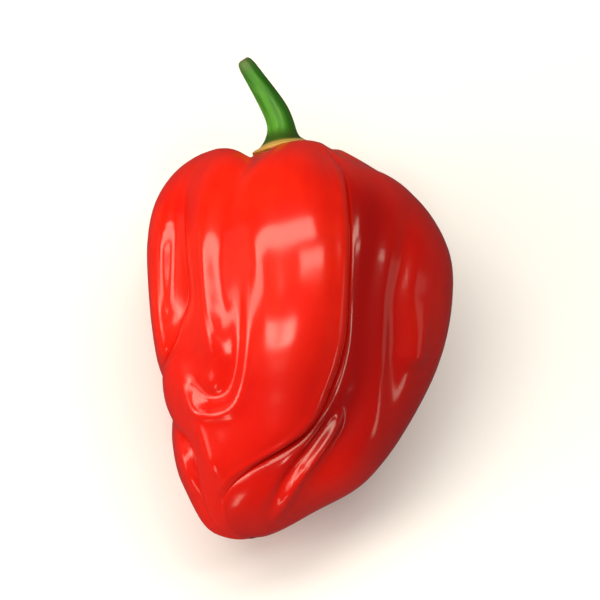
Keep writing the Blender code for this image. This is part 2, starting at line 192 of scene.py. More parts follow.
STROKES = (
    Stroke("crown_groove", 1, 1.8,
           ((-7.6, -1.5, 1.4), (-8.6, 0.0, 1.5), (-9.9, 2.5, 1.4), (-11.0, 5.0, 1.1),
            (-11.7, 8.5, 0.8), (-12.1, 13.0, 0.5), (-12.3, 18.0, 0.3), (-12.4, 23.0, 0.2))),
    Stroke("seat_dip", 1, 3.0,
           ((-8.2, -1.2, 1.0), (-6.4, -1.8, 1.2), (-4.4, -2.2, 0.8))),
    Stroke("far_shoulder", 1, 3.0,
           ((1.5, -0.6, 0.3), (4.2, 0.6, 1.4), (7.0, 1.8, 1.1), (10.5, 3.6, 0.4), (13.0, 5.5, 0.1))),
    Stroke("pocket_groove", 1, 1.3,
           ((-10.0, 21.0, 0.1), (-10.1, 27.0, 0.5), (-10.8, 33.0, 0.8), (-12.2, 36.2, 0.9),
            (-14.4, 37.0, 0.8), (-16.4, 35.6, 0.5))),
    Stroke("pocket_rim", 1, 1.0,
           ((-8.8, 20.0, -0.1), (-8.8, 27.0, -0.4), (-9.3, 33.5, -0.5), (-10.6, 37.9, -0.5),
            (-13.6, 39.4, -0.4), (-16.6, 38.6, -0.5), (-17.8, 35.4, -0.4))),
    Stroke("right_groove", 1, 1.4,
           ((15.2, 8.0, 0.1), (14.9, 12.5, 0.5), (14.2, 17.5, 0.8), (13.3, 23.0, 0.9),
            (13.1, 29.0, 0.9), (12.7, 35.0, 0.7), (11.8, 41.0, 0.2))),
    Stroke("right_hollow", 1, 3.2,
           ((11.0, 7.0, 0.2), (10.8, 11.0, 0.9), (10.6, 15.0, 1.4), (10.0, 20.0, 1.6),
            (9.4, 25.0, 1.6), (9.0, 30.5, 1.5), (8.2, 36.0, 1.5), (6.6, 40.0, 1.7),
            (4.2, 44.5, 1.7), (1.2, 49.0, 1.2), (-1.8, 53.0, 0.4))),
    Stroke("right_ridge", 1, 1.5,
           ((16.6, 24.0, -0.2), (16.2, 28.0, -0.7), (15.6, 31.0, -1.0))),
    Stroke("low_ridge", 1, 0.95,
           ((5.0, 40.2, -0.3), (4.3, 41.8, -0.8), (2.1, 44.8, -1.0), (-0.4, 47.8, -1.0),
            (-2.5, 50.7, -0.9), (-4.6, 54.5, -0.3))),
    Stroke("low_valley", 1, 0.95,
           ((4.0, 39.4, 0.2), (3.3, 41.0, 0.6), (1.1, 44.0, 0.8), (-1.4, 47.0, 0.8),
            (-3.5, 49.9, 0.7), (-5.6, 53.7, 0.2))),
    Stroke("under_right_groove", -1, 2.3,
           ((9.5, 6.0, 0.4), (11.5, 14.0, 1.1), (12.0, 23.0, 1.1), (10.5, 33.0, 0.6),
            (7.5, 41.0, 0.2))),
    Stroke("under_left_groove", -1, 2.0,
           ((-11.5, 10.0, 0.2), (-12.0, 18.0, 0.9), (-11.0, 28.0, 0.9), (-9.0, 37.0, 0.5),
            (-8.0, 43.0, 0.1))),
    Stroke("under_low_dent", -1, 3.2,
           ((0.5, 40.0, 0.3), (0.0, 45.0, 0.9), (-2.0, 50.0, 0.5))),
)

# Swells that are lifted towards where the pod is looked at, so its outline from there stays the same
SWELLS = (
    Stroke("left_lobe", 1, 3.7,
           ((-22.0, 3.0, -0.9), (-22.9, 8.0, -2.8), (-23.6, 14.0, -4.3), (-23.8, 20.0, -4.8),
            (-23.7, 26.0, -4.9), (-23.1, 31.0, -4.2), (-22.3, 35.0, -2.2), (-21.6, 38.0, -0.6))),
    Stroke("left_furrow_side", 1, 1.5,
           ((-19.0, 6.0, 0.2), (-19.6, 11.0, 0.5), (-19.8, 17.0, 0.6), (-19.9, 23.0, 0.5),
            (-20.2, 28.0, 0.2))),
    Stroke("left_of_crown", 1, 2.0,
           ((-14.6, 3.0, -0.5), (-15.7, 7.0, -1.0), (-16.3, 11.7, -1.5), (-16.1, 17.2, -2.0),
            (-15.5, 22.5, -2.2), (-14.6, 27.5, -1.8), (-13.8, 30.5, -0.7))),
    Stroke("crown_shoulder", 1, 2.0,
           ((-7.6, 9.0, -0.1), (-7.5, 14.0, -0.4), (-7.4, 20.0, -0.5), (-7.4, 27.0, -0.4),
            (-7.9, 33.0, -0.2))),
    Stroke("far_right_lobe", 1, 4.2,
           ((17.5, 6.0, 0.3), (17.0, 12.0, 1.0), (16.6, 20.0, 1.4), (16.4, 28.0, 1.4),
            (15.6, 35.0, 1.0), (14.0, 41.0, 0.3))),
    Stroke("low_crown", 1, 2.0,
           ((-17.6, 37.0, -0.5), (-16.4, 41.0, -1.3), (-14.8, 45.5, -1.3), (-13.2, 49.0, -0.5))),
    Stroke("low_left_lobe", 1, 1.5,
           ((-20.2, 41.0, -0.9), (-19.4, 44.4, -1.8), (-18.2, 48.1, -1.8), (-17.0, 51.0, -0.8))),
)

# The calyx and stem, from the middle of the calyx's underside to the middle of the stem's cut end:
# (mm along the stem, mm of radius)
STEM_OUTLINE = (
    (0.0, 0.0),
    (0.0, 2.9),
    (0.0, 4.2),
    (0.12, 4.6),
    (0.38, 4.75),
    (0.68, 4.5),
    (1.05, 3.9),
    (1.5, 3.25),
    (2.1, 2.7),
    (3.0, 2.3),
    (4.2, 2.12),
    (5.6, 2.05),
    (7.5, 1.94),
    (9.6, 1.78),
    (11.7, 1.6),
    (13.6, 1.45),
    (14.9, 1.32),
    (15.5, 1.15),
    (15.9, 0.8),
    (15.85, 0.0),
)

# How far the stem leans to the left, in degrees, at mm along it
STEM_LEAN = ((0, 10), (1.4, 9), (2.6, 5), (3.8, 8), (5.2, 18), (6.8, 27), (9.4, 32), (12.0, 33),
             (15.9, 34))

CALYX_TEETH = 5
TOOTH_SIZE = 0.35 * MM
RIB_HEIGHT = 0.12 * MM

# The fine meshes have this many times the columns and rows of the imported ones
FINER_POD = 4
FINER_STEM = 4

# Waves in the skins, which run along the pod and along the stem: (mm across one, mm along one, mm deep).
# Each skin is taken as a straight tube of this radius, which the waves and streaks are drawn on.
SKIN_WAVES = ((4.6, 13.0, 0.06), (1.9, 6.0, 0.03), (0.8, 2.6, 0.008))
SKIN_RADIUS = 16.0 * MM
SKIN_LENGTH = 84.0 * MM
SKIN_WAVES_FROM = (0.05, 0.12)
STEM_WAVES = ((1.1, 6.0, 0.08), (0.5, 2.0, 0.02))
STEM_SKIN_RADIUS = 2.0 * MM
STEM_WAVES_FROM = (0.2 * MM, 0.8 * MM)

# The dry scar at the tip, and the ribs along the stem, which fade towards the calyx and the cut end
SCAR_RADIUS = 1.1 * MM
SCAR_DEPTH = 0.25 * MM
STEM_RIBS = 7
STEM_RIB_DEPTH = 0.10 * MM
STEM_RIB_TWIST = 2.0
STEM_RIBS_FROM = (1.6 * MM, 3.5 * MM)
STEM_RIBS_FROM_RADIUS = (0.3 * MM, 1.0 * MM)

# Where the finishes change: down the pod, as shares of the way; across a lobe, as shares of its width;
# by a furrow's depth in mm; round the tip, in mm; along the stem, as shares of it or in metres; and
# round the stem, by the sine of the angle. The painted shade in a deep furrow falls mostly on its right
# wall, and its left wall takes only a share. More painted shade darkens the right lobe, the crown's right
# edge and the stem's right side.
SHADE_CREASE_DEPTHS = (0.5, 3.0)
SHADE_CREASE_WIDTH = 0.5
SHADE_ON_LEFT_WALL = 0.3
SHADED_RIGHT_LOBE = (0.0, 0.03)
RIGHT_LOBE_SHADE_EASES = (0.12, 0.30)
SHADED_CROWN_EDGE = (0.68, 0.96)
SHADED_FROM = (0.10, 0.34)
SHADED_TO = (0.72, 0.84)
STREAKED_FROM = (0.10, 0.30)
SHOULDER = (0.17, 0.07)
BY_CALYX = (0.078, 0.062)
LOW_PART = (0.50, 0.66)
SCAR_EDGE = (1.3, 0.4)
RIM_RADII = (2.9 * MM, 4.0 * MM)
RIM_TO = (1.0 * MM, 1.8 * MM)
CUT_END = (STEM_LENGTH - 0.35 * MM, STEM_LENGTH - 0.1 * MM)
STEM_TIP = (0.80, 0.97)
STEM_BASE = (0.25, 0.13)
SHADED_SIDE = (0.1, 0.95)

# Colours, as linear (red, green, blue), and how far the floor goes to each side, in metres
RIPE_RED = (0.72, 0.0085, 0.0022)
BRIGHT_RED = (0.85, 0.017, 0.0035)
STREAK_RED = (0.88, 0.040, 0.008)
# Painted shade: the darker red that stands for the shade at the bottom of deep furrows
CREASE_SHADE_RED = (0.48, 0.0025, 0.001)
SHOULDER_ORANGE = (0.80, 0.070, 0.008)
BY_CALYX_OCHRE = (0.50, 0.22, 0.03)
LOW_RED = (0.62, 0.0055, 0.0030)
SCAR_BROWN = (0.10, 0.035, 0.012)
# Painted shade on the right lobe, the lobe under it and the crown's right edge
SHADED_RED = (0.28, 0.0025, 0.0018)
STEM_GREEN = (0.022, 0.150, 0.005)
STEM_LIGHT_GREEN = (0.065, 0.270, 0.012)
STEM_STREAK = (0.15, 0.38, 0.05)
STEM_TIP_OLIVE = (0.12, 0.17, 0.06)
# Painted shade on the stem's right side
STEM_SHADED_GREEN = (0.008, 0.055, 0.004)
STEM_BASE_OLIVE = (0.030, 0.060, 0.006)
RIM_CREAM = (0.62, 0.37, 0.09)
CUT_BROWN = (0.16, 0.12, 0.06)
FLOOR_TONES = ((0.89, 0.90, 0.94), (0.91, 0.92, 0.96))
FLOOR_REACH = 2.0

# The view
CAMERA_ELEVATION = math.radians(72.0)
CAMERA_DISTANCE = 0.42
CAMERA_TARGET = (0.0, -0.0005, 0.020)
VIEW_WIDTH = 0.090
SENSOR_WIDTH = 36.0

# Softboxes. toward: direction from the pepper. distance and size, which is (width, height): metres.
# brightness: watts for each square metre of it.
Panel = namedtuple("Panel", "name toward distance size brightness")
LIGHTS_AIM = (0.0, 0.0, 0.02)
PANELS = (
    Panel("far_bar", (-0.08, 0.262, 0.95), 0.80, (0.92, 0.236), 20.5),
    Panel("left_bar", (-0.60, -0.16, 0.78), 0.80, (0.18, 0.95), 16.5),
    Panel("right_bar", (0.40, 0.06, 0.91), 0.80, (0.11, 0.42), 20.0),
    Panel("near_spot", (0.04, -0.46, 0.87), 0.80, (0.13, 0.24), 29.0),
    Panel("near_left", (-0.52, -0.84, 0.16), 0.80, (0.10, 0.18), 14.0),
    Panel("left_panel", (-0.92, 0.12, 0.38), 0.80, (0.50, 0.45), 1.2),
    Panel("left_low", (-0.87, -0.26, 0.43), 0.80, (0.42, 0.36), 7.0),
    Panel("right_low", (0.87, -0.49, 0.12), 0.80, (0.10, 0.12), 12.0),
    Panel("right_panel", (0.97, -0.14, 0.22), 0.80, (0.35, 0.30), 2.2),
)
SOFT_FILL = Panel("soft_fill", (-0.05, -0.10, 0.99), 0.80, (1.40, 1.40), 1.10)
WARM_WHITE = (1.0, 0.93, 0.75)
PLAIN_WHITE = (1.0, 1.0, 1.0)
ROOM_WHITE = (0.97, 0.98, 1.0)
ROOM_LIGHT = 0.07


def through(points, at):
    """The smooth curve through points of (place, value), read at other places."""
    places, values = np.array(points, float).T
    slopes = np.gradient(values, places)
    k = np.clip(np.searchsorted(places, at) - 1, 0, len(places) - 2)
    span = places[k + 1] - places[k]
    t = np.clip((at - places[k]) / span, 0.0, 1.0)
    start = (2 * t**3 - 3 * t**2 + 1) * values[k] + (t**3 - 2 * t**2 + t) * span * slopes[k]
    end = (3 * t**2 - 2 * t**3) * values[k + 1] + (t**3 - t**2) * span * slopes[k + 1]
    return start + end


def along_outline(outline, share):
    """The two coordinates of an outline at shares of its length."""
    outline = np.array(outline, float)
    way = np.concatenate(([0.0], np.cumsum(np.hypot(*np.diff(outline, axis=0).T))))
    way = way / way[-1]
    first = through(np.stack([way, outline[:, 0]], axis=1), share)
    return first, through(np.stack([way, outline[:, 1]], axis=1), share)


def envelope(fall):
    """Radius and depth of the envelope and its outward normal (out, down), at shares of the way down."""
    outline = np.array(ENVELOPE) * (POD_HALF_WIDTH, POD_LENGTH)
    radius, depth = along_outline(outline, fall)
    before = along_outline(outline, np.clip(fall - 1e-3, 0.0, 1.0))
    after = along_outline(outline, np.clip(fall + 1e-3, 0.0, 1.0))
    out, down = after[0] - before[0], after[1] - before[1]
    size = np.hypot(out, down)
    return radius, depth, down / size, -out / size


def smooth_step(low, high, value):
    t = np.clip((value - low) / (high - low), 0.0, 1.0)
    return t * t * (3 - 2 * t)


def lobed_points(lobe, share, fall):
    """The pod's large folds, and the outward direction of the envelope at each point.

    lobe: its number; share: 0 to 1 across it; fall: 0 at the seat to 1 at the tip.
    """
    here = np.arange(len(lobe))
    following = (lobe + 1) % len(LOBES)
    angles = np.array([through(f.angle, fall) for f in FURROWS])
    depths = np.array([through(f.depth, fall) for f in FURROWS]) * MM
    rises = np.array([through(l.rise, fall) for l in LOBES]) * MM
    right_end = angles[following, here] + np.where(following == 0, 360.0, 0.0)
    angle = np.radians(angles[lobe, here] * (1 - share) + right_end * share)
    depth = depths[lobe, here] * (1 - share) + depths[following, here] * share
    walls = np.array([f.walls for f in FURROWS])
    wall = walls[lobe, 1] * (1 - share) + walls[following, 0] * share
    wall = wall * (1 + 2 * np.exp(-depth / SHALLOW))
    swell = 2 * np.sqrt(np.clip(share * (1 - share), 0.0, None))
    radius, down, out, sink = envelope(fall)
    lips = np.array([f.lip for f in FURROWS])[following] * MM
    beside = (1 - share) * radius * np.radians(right_end - angles[lobe, here])
    lift = rises[lobe, here] * swell**2 - depth * (1 - swell**wall)
    deep = smooth_step(0, LIP_FULL_DEPTH, depth)
    lift = lift + lips * deep * np.exp(-(((beside - LIP_AT) / LIP_WIDTH) ** 2))
    radius = radius + lift * out
    down = down + lift * sink
    lean = np.array([l.lean for l in LOBES])[lobe] * MM * depth / LEAN_DEPTH * swell**2
    over = OVERHANG * (lips > 0) * deep * smooth_step(*OVERHANG_FROM, beside)
    lean = lean + over * (1 - smooth_step(*OVERHANG_TO, beside))
    x = radius * np.sin(angle) + lean * np.cos(angle)
    y = radius * np.cos(angle) - lean * np.sin(angle)
    seat_tilt = math.tan(SEAT_TILT) * (1 - smooth_step(SEAT_RADIUS, SEAT_BLEND_RADIUS, radius))
    down = down - seat_tilt * x
    x = x + through(BEND, down / POD_LENGTH) * MM
    outward = np.stack([out * np.sin(angle), out * np.cos(angle), sink], axis=1)
    return np.stack([x, y * POD_THICKNESS_SHARE, down], axis=1), outward


def stroke_depth(stroke, points):
    """How deep a stroke goes at points of the pod, in metres."""
    sight = SIGHT_TILT if stroke.side > 0 else 0.0
    across = points[:, 0]
    down = points[:, 2] * math.cos(sight) - points[:, 1] * math.sin(sight)
    marks = np.array(stroke.points) * MM
    at = np.linspace(0, 1, len(marks))
    steps = np.linspace(0, 1, STROKE_STEPS)
    path = np.stack([through(np.stack([at, values], axis=1), steps) for values in marks.T], axis=1)
    depth = np.zeros(len(points))
    for (x, z, start), (x_way, z_way, change) in zip(path[:-1], np.diff(path, axis=0)):
        reach = ((across - x) * x_way + (down - z) * z_way) / (x_way**2 + z_way**2)
        reach = np.clip(reach, 0.0, 1.0)
        apart = (across - x - reach * x_way) ** 2 + (down - z - reach * z_way) ** 2
        here = (start + reach * change) * np.exp(-apart / (stroke.width * MM) ** 2)
        depth = np.where(abs(here) > abs(depth), here, depth)
    return depth * smooth_step(*STROKES_ABOVE, points[:, 1] * stroke.side)


def pod_surface(lobe, share, fall):
    """Points of the pod in its own frame."""
    points, outward = lobed_points(lobe, share, fall)
    depth = sum(stroke_depth(stroke, points) for stroke in STROKES) * smooth_step(*STROKES_FROM, fall)
    lifted = sum(stroke_depth(stroke, points) for stroke in SWELLS)
    sight = np.array([0.0, math.cos(SIGHT_TILT), math.sin(SIGHT_TILT)])
    return points - outward * depth[:, None] - sight * lifted[:, None]


def laid_down(points):
    """From the pod's own frame to how it lies: its upper side up and its tip towards -Y and lower."""
    x, y, z = points.T
    cos, sin = math.cos(LYING_TILT), math.sin(LYING_TILT)
    return np.stack([x, -z * cos - y * sin, y * cos - z * sin], axis=1)


def columns_to_lobes(column, finer=1):
    """The lobe that a mesh column lies in, and how far across it: closer together by the furrows."""
    ends = np.cumsum([0] + [l.columns * finer for l in LOBES])
    lobe = np.searchsorted(ends, column, side="right") - 1
    even = (column - ends[lobe]) / (ends[lobe + 1] - ends[lobe])
    return lobe, (1 - np.cos(math.pi * even)) / 2


def stem_surface(turn, share):
    """Points of the calyx and stem in the pod's frame.

    turn: angle round the stem; share: 0 at the middle of its underside, 1 at the middle of its cut end.
    """
    along, radius = along_outline(np.array(STEM_OUTLINE) * MM, share)
    tooth = (0.5 + 0.5 * np.cos(CALYX_TEETH * turn)) ** 3
    on_rim = smooth_step(*TEETH_FROM_RADIUS, radius) * smooth_step(*TEETH_FROM, along)
    on_top = smooth_step(*RIBS_FROM, along) * (1 - smooth_step(*RIBS_TO, along))
    radius = radius + on_rim * TOOTH_SIZE * tooth + on_top * RIB_HEIGHT * tooth
    steps = np.linspace(0.0, STEM_LENGTH, STEM_STEPS)
    lean = np.radians(through(STEM_LEAN, steps / MM))
    rise = STEM_RISE_AT_TIP * smooth_step(0.1, 1.0, steps / STEM_LENGTH)
    step = steps[1]
    x_way = np.concatenate(([0.0], np.cumsum(-np.sin(lean[1:]) * step)))
    y_way = np.concatenate(([0.0], np.cumsum(np.sin(rise[1:]) * step)))
    z_way = np.concatenate(([0.0], np.cumsum(-np.cos(lean[1:]) * np.cos(rise[1:]) * step)))
    leans = np.interp(along, steps, lean)
    rises = np.interp(along, steps, rise)
    across = radius * np.sin(turn)
    toward = radius * np.cos(turn)
    x = np.interp(along, steps, x_way) + across * np.cos(leans)
    y = np.interp(along, steps, y_way) + toward * np.cos(rises)
    z = np.interp(along, steps, z_way) - across * np.sin(leans) + toward * np.sin(rises)
    middle = BEND[0][1] * MM - CALYX_ASIDE
    sink = SEAT_DEPTH + CALYX_ASIDE * math.tan(SEAT_TILT)
    x = x + middle - SEAT_GAP * math.sin(SEAT_TILT)
    z = z + sink - SEAT_GAP * math.cos(SEAT_TILT)
    return np.stack([x, y, z], axis=1)


def sphere_grid(columns, rows):
    """A round mesh whose vertices are then moved, with each vertex's column and row."""
    bm = bmesh.new()
    bmesh.ops.create_uvsphere(bm, u_segments=columns, v_segments=rows, radius=1.0)
    x, y, z = np.array([v.co for v in bm.verts]).T
    column = np.round(np.arctan2(y, x) / (2 * math.pi) * columns).astype(int) % columns
    row = np.round(np.arccos(np.clip(z, -1.0, 1.0)) / math.pi * rows)
    return bm, column, row


def new_object(name, bm):
    bm.normal_update()
    bmesh.ops.recalc_face_normals(bm, faces=bm.faces)
    mesh = bpy.data.meshes.new(name)
    bm.to_mesh(mesh)
    bm.free()
    mesh.shade_smooth()
    made = bpy.data.objects.new(name, mesh)
    bpy.context.scene.collection.objects.link(made)
    return made


def add_attribute(piece, name, values):
    """A number, or three, for each vertex, that the materials read."""
    kind = "FLOAT_VECTOR" if values.ndim == 2 else "FLOAT"
    attribute = piece.data.attributes.new(name, kind, "POINT")
    attribute.data.foreach_set("vector" if values.ndim == 2 else "value", values.ravel())


def waves(places, sizes):
    """Depths of waves over places that are unrolled along the third axis, from 0 to the sizes' sum."""
    total = np.zeros(len(places))
    for across, along, deep in sizes:
        scaled = places / (across * MM, across * MM, along * MM)
        total += [deep * MM * (0.5 + 0.5 * noise.noise(Vector(p))) for p in scaled]
    return total


def set_in_box(points, box):
    """Points moved so that their own box has the middle and the top of another."""
    low, high = box
    middle = (low + high) / 2 - (points.min(axis=0) + points.max(axis=0)) / 2
    top = high[2] - points[:, 2].max()
    return points + (middle[0], middle[1], top)


def move_vertices(bm, points):
    for vertex, point in zip(bm.verts, points):
        vertex.co = point
    bm.normal_update()


def sunk_in(bm, depth):
    """The vertices' places, each moved into the surface by its depth."""
    places = np.array([v.co for v in bm.verts])
    normals = np.array([v.normal for v in bm.verts])
    return places - normals * depth[:, None]


def crease_shade(lobe, share, fall):
    """How strong the painted shade is at each point in a deep furrow, most of all on the furrow's right
    wall.
    """
    swell = 2 * np.sqrt(share * (1 - share))
    depths = np.array([through(f.depth, fall) for f in FURROWS])
    here = np.arange(len(lobe))
    furrow_depth = np.where(share < 0.5, depths[lobe, here], depths[(lobe + 1) % len(LOBES), here])
    wall = (1 - smooth_step(0.0, SHADE_CREASE_WIDTH, swell)) * np.where(share < 0.5, 1.0, SHADE_ON_LEFT_WALL)
    return smooth_step(*SHADE_CREASE_DEPTHS, furrow_depth) * wall


def painted_right_shade(lobe, share, fall):
    """Painted shade: the skin is darker on the right lobe, the one under it and the crown's right edge."""
    right_lobe_shade = smooth_step(*SHADED_RIGHT_LOBE, share) * (1 - 0.3 * smooth_step(*RIGHT_LOBE_SHADE_EASES, share))
    crown_edge_shade = 0.4 * smooth_step(*SHADED_CROWN_EDGE, share)
    strength = np.choose(lobe, (crown_edge_shade, right_lobe_shade, 0.8, 0.0, 0.0))
    return strength * smooth_step(*SHADED_FROM, fall) * (1 - 0.7 * smooth_step(*SHADED_TO, fall))


def fine_pod():
    """The pod with a finer mesh, low waves in its skin and the scar at its tip."""
    box = np.array(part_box("pod"))
    columns = sum(l.columns for l in LOBES) * FINER_POD
    rows = POD_ROWS * FINER_POD
    bm, column, row = sphere_grid(columns, rows)
    lobe, share = columns_to_lobes(column, FINER_POD)
    fall = row / rows
    points = set_in_box(laid_down(pod_surface(lobe, share, fall)), box)
    tip = points[fall == 1][0]
    move_vertices(bm, points)
    bmesh.ops.recalc_face_normals(bm, faces=bm.faces)
    bm.normal_update()
    turn = (lobe + share) / len(LOBES) * 2 * math.pi
    skin = np.stack([SKIN_RADIUS * np.cos(turn), SKIN_RADIUS * np.sin(turn), SKIN_LENGTH * fall], axis=1)
    from_tip = np.linalg.norm(points - tip, axis=1)
    depth = waves(skin, SKIN_WAVES) * smooth_step(*SKIN_WAVES_FROM, fall)
    depth += SCAR_DEPTH * np.exp(-((from_tip / SCAR_RADIUS) ** 2))
    move_vertices(bm, np.clip(sunk_in(bm, depth), *box))
    pod = new_object("pod_fine", bm)
    add_attribute(pod, "skin", skin)
    # Masks for the painted shade in the deep furrows and on the pod's right side
    add_attribute(pod, "crease_shade", crease_shade(lobe, share, fall))
    add_attribute(pod, "shade", painted_right_shade(lobe, share, fall))
    add_attribute(pod, "fall", fall)
    add_attribute(pod, "from_tip", from_tip / MM)
    return pod


def fine_stem():
    """The calyx and stem with a finer mesh, low waves in their skin and the stem's ribs."""
    columns = STEM_COLUMNS * FINER_STEM
    rows = STEM_ROWS * FINER_STEM
    bm, column, row = sphere_grid(columns, rows)
    turn = 2 * math.pi * column / columns
    share = 1 - row / rows
    box = np.array(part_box("stem_calyx"))
    move_vertices(bm, set_in_box(laid_down(stem_surface(turn, share)), box))
    bmesh.ops.recalc_face_normals(bm, faces=bm.faces)
    bm.normal_update()
    along, radius = along_outline(np.array(STEM_OUTLINE) * MM, share)
    skin = np.stack([STEM_SKIN_RADIUS * np.cos(turn), STEM_SKIN_RADIUS * np.sin(turn), along], axis=1)
    on_stem = smooth_step(*STEM_RIBS_FROM, along) * smooth_step(*STEM_RIBS_FROM_RADIUS, radius)
    ribs = 0.5 + 0.5 * np.cos(STEM_RIBS * turn + STEM_RIB_TWIST * along / STEM_LENGTH)
    depth = STEM_RIB_DEPTH * ribs**2 * on_stem
    depth += waves(skin, STEM_WAVES) * smooth_step(*STEM_WAVES_FROM, along)
    move_vertices(bm, sunk_in(bm, depth))
    stem = new_object("stem_calyx_fine", bm)
    add_attribute(stem, "skin", skin)
    add_attribute(stem, "along", along / STEM_LENGTH)
    add_attribute(stem, "rim", smooth_step(*RIM_RADII, radius) * (1 - smooth_step(*RIM_TO, along)))
    add_attribute(stem, "cut_end", smooth_step(*CUT_END, along))
    # The mask of the painted shade on the stem's right side
    add_attribute(stem, "shaded_side", smooth_step(*SHADED_SIDE, np.sin(turn)))
    return stem


def add_node(tree, kind, inputs=(), **settings):
    """A shader node with some of its sockets set or wired."""
    made = tree.nodes.new(kind)
    for key, value in settings.items():
        setattr(made, key, value)
    for key, value in dict(inputs).items():
        if isinstance(value, bpy.types.NodeSocket):
            tree.links.new(value, made.inputs[key])
        else:
            made.inputs[key].default_value = value
    return made


def read_attribute(tree, name, output="Fac"):
    return add_node(tree, "ShaderNodeAttribute", attribute_name=name).outputs[output]


def multiply(tree, value, factor):
    return add_node(tree, "ShaderNodeMath", {0: value, 1: factor}, operation="MULTIPLY").outputs[0]


def mix_colours(tree, mask, under, over):
    """One colour over another by a mask. Colours are linear (r, g, b) or sockets."""
    made = tree.nodes.new("ShaderNodeMix")
    made.data_type = "RGBA"
    for socket, value in ((made.inputs[0], mask), (made.inputs[6], under), (made.inputs[7], over)):
        if isinstance(value, bpy.types.NodeSocket):
            tree.links.new(value, socket)
        elif isinstance(value, tuple):
            socket.default_value = (*value, 1.0)
        else:
            socket.default_value = value
    return made.outputs[2]


def ramp(tree, value, low, high, to_low=0.0, to_high=1.0):
    """A value stretched from low and high to other ends, smoothly."""
    sockets = {"Value": value, "From Min": low, "From Max": high, "To Min": to_low, "To Max": to_high}
    return add_node(tree, "ShaderNodeMapRange", sockets, interpolation_type="SMOOTHSTEP").outputs["Result"]


def group_with(name, inputs, outputs):
    """An empty shader node group, with its input and output nodes."""
    group = bpy.data.node_groups.new(name, "ShaderNodeTree")
    for label, kind, value in inputs:
        socket = group.interface.new_socket(label, in_out="INPUT", socket_type=kind)
        if value is not None:
            socket.default_value = value
    for label, kind in outputs:
        group.interface.new_socket(label, in_out="OUTPUT", socket_type=kind)
    return group, group.nodes.new("NodeGroupInput"), group.nodes.new("NodeGroupOutput")


def make_streak_group():
    """Long soft streaks that run along a skin, as a mask from 0 to 1."""
    group, given, out = group_with(
        "lengthwise streaks",
        (("Skin", "NodeSocketVector", None), ("Per Metre", "NodeSocketFloat", 400.0),
         ("Stretch", "NodeSocketFloat", 6.0), ("From", "NodeSocketFloat", 0.4),
         ("To", "NodeSocketFloat", 0.6)),
        (("Mask", "NodeSocketFloat"),),
    )
    squeeze = add_node(group, "ShaderNodeMath", {0: 1.0, 1: given.outputs["Stretch"]}, operation="DIVIDE")
    shape = add_node(group, "ShaderNodeCombineXYZ", {"X": 1.0, "Y": 1.0, "Z": squeeze.outputs[0]})
    place = add_node(group, "ShaderNodeVectorMath", {0: given.outputs["Skin"], 1: shape.outputs[0]},
                     operation="MULTIPLY")
    cloud = add_node(group, "ShaderNodeTexNoise",
                     {"Vector": place.outputs[0], "Scale": given.outputs["Per Metre"], "Detail": 4.0,
                      "Roughness": 0.55})
    mask = ramp(group, cloud.outputs["Fac"], given.outputs["From"], given.outputs["To"])
    group.links.new(mask, out.inputs["Mask"])
    return group


def make_grain_group():
    """The finest relief of a skin, as a height: shallow dimples over a soft unevenness."""
    group, given, out = group_with(
        "skin grain",
        (("Place", "NodeSocketVector", None), ("Per Metre", "NodeSocketFloat", 1500.0),
         ("Dimples", "NodeSocketFloat", 0.5)),
        (("Height", "NodeSocketFloat"),),
    )
    place = {"Vector": given.outputs["Place"], "Scale": given.outputs["Per Metre"]}
    cloud = add_node(group, "ShaderNodeTexNoise", {**place, "Detail": 3.0}).outputs["Fac"]
    cells = add_node(group, "ShaderNodeTexVoronoi", place, feature="SMOOTH_F1").outputs["Distance"]
    dimples = multiply(group, cells, given.outputs["Dimples"])
    height = add_node(group, "ShaderNodeMath", {0: cloud, 1: dimples}, operation="ADD").outputs[0]
    group.links.new(height, out.inputs["Height"])
    return group


def use_group(tree, group, inputs):
    return add_node(tree, "ShaderNodeGroup", inputs, node_tree=group).outputs[0]


def drawn_streaks(tree, streaks, place, per_metre, stretch, start, full):
    """The streak group's mask at places in metres. start and full: where its noise becomes streaks."""
    inputs = {"Skin": place, "Per Metre": per_metre, "Stretch": stretch, "From": start, "To": full}
    return use_group(tree, streaks, inputs)


def add_grain(tree, shader, grain, place, per_metre, dimples, height, strength):
    """Fine relief on a shader's normals. height: metres."""
    relief = use_group(tree, grain, {"Place": place, "Per Metre": per_metre, "Dimples": dimples})
    inputs = {"Height": relief, "Distance": height, "Strength": strength}
    bump = add_node(tree, "ShaderNodeBump", inputs).outputs[0]
    tree.links.new(bump, shader.inputs["Normal"])


def new_material(name, **constants):
    made = bpy.data.materials.new(name)
    made.use_nodes = True
    shader = made.node_tree.nodes["Principled BSDF"]
    for key, value in constants.items():
        shader.inputs[key.replace("_", " ")].default_value = value
    return made, made.node_tree, shader


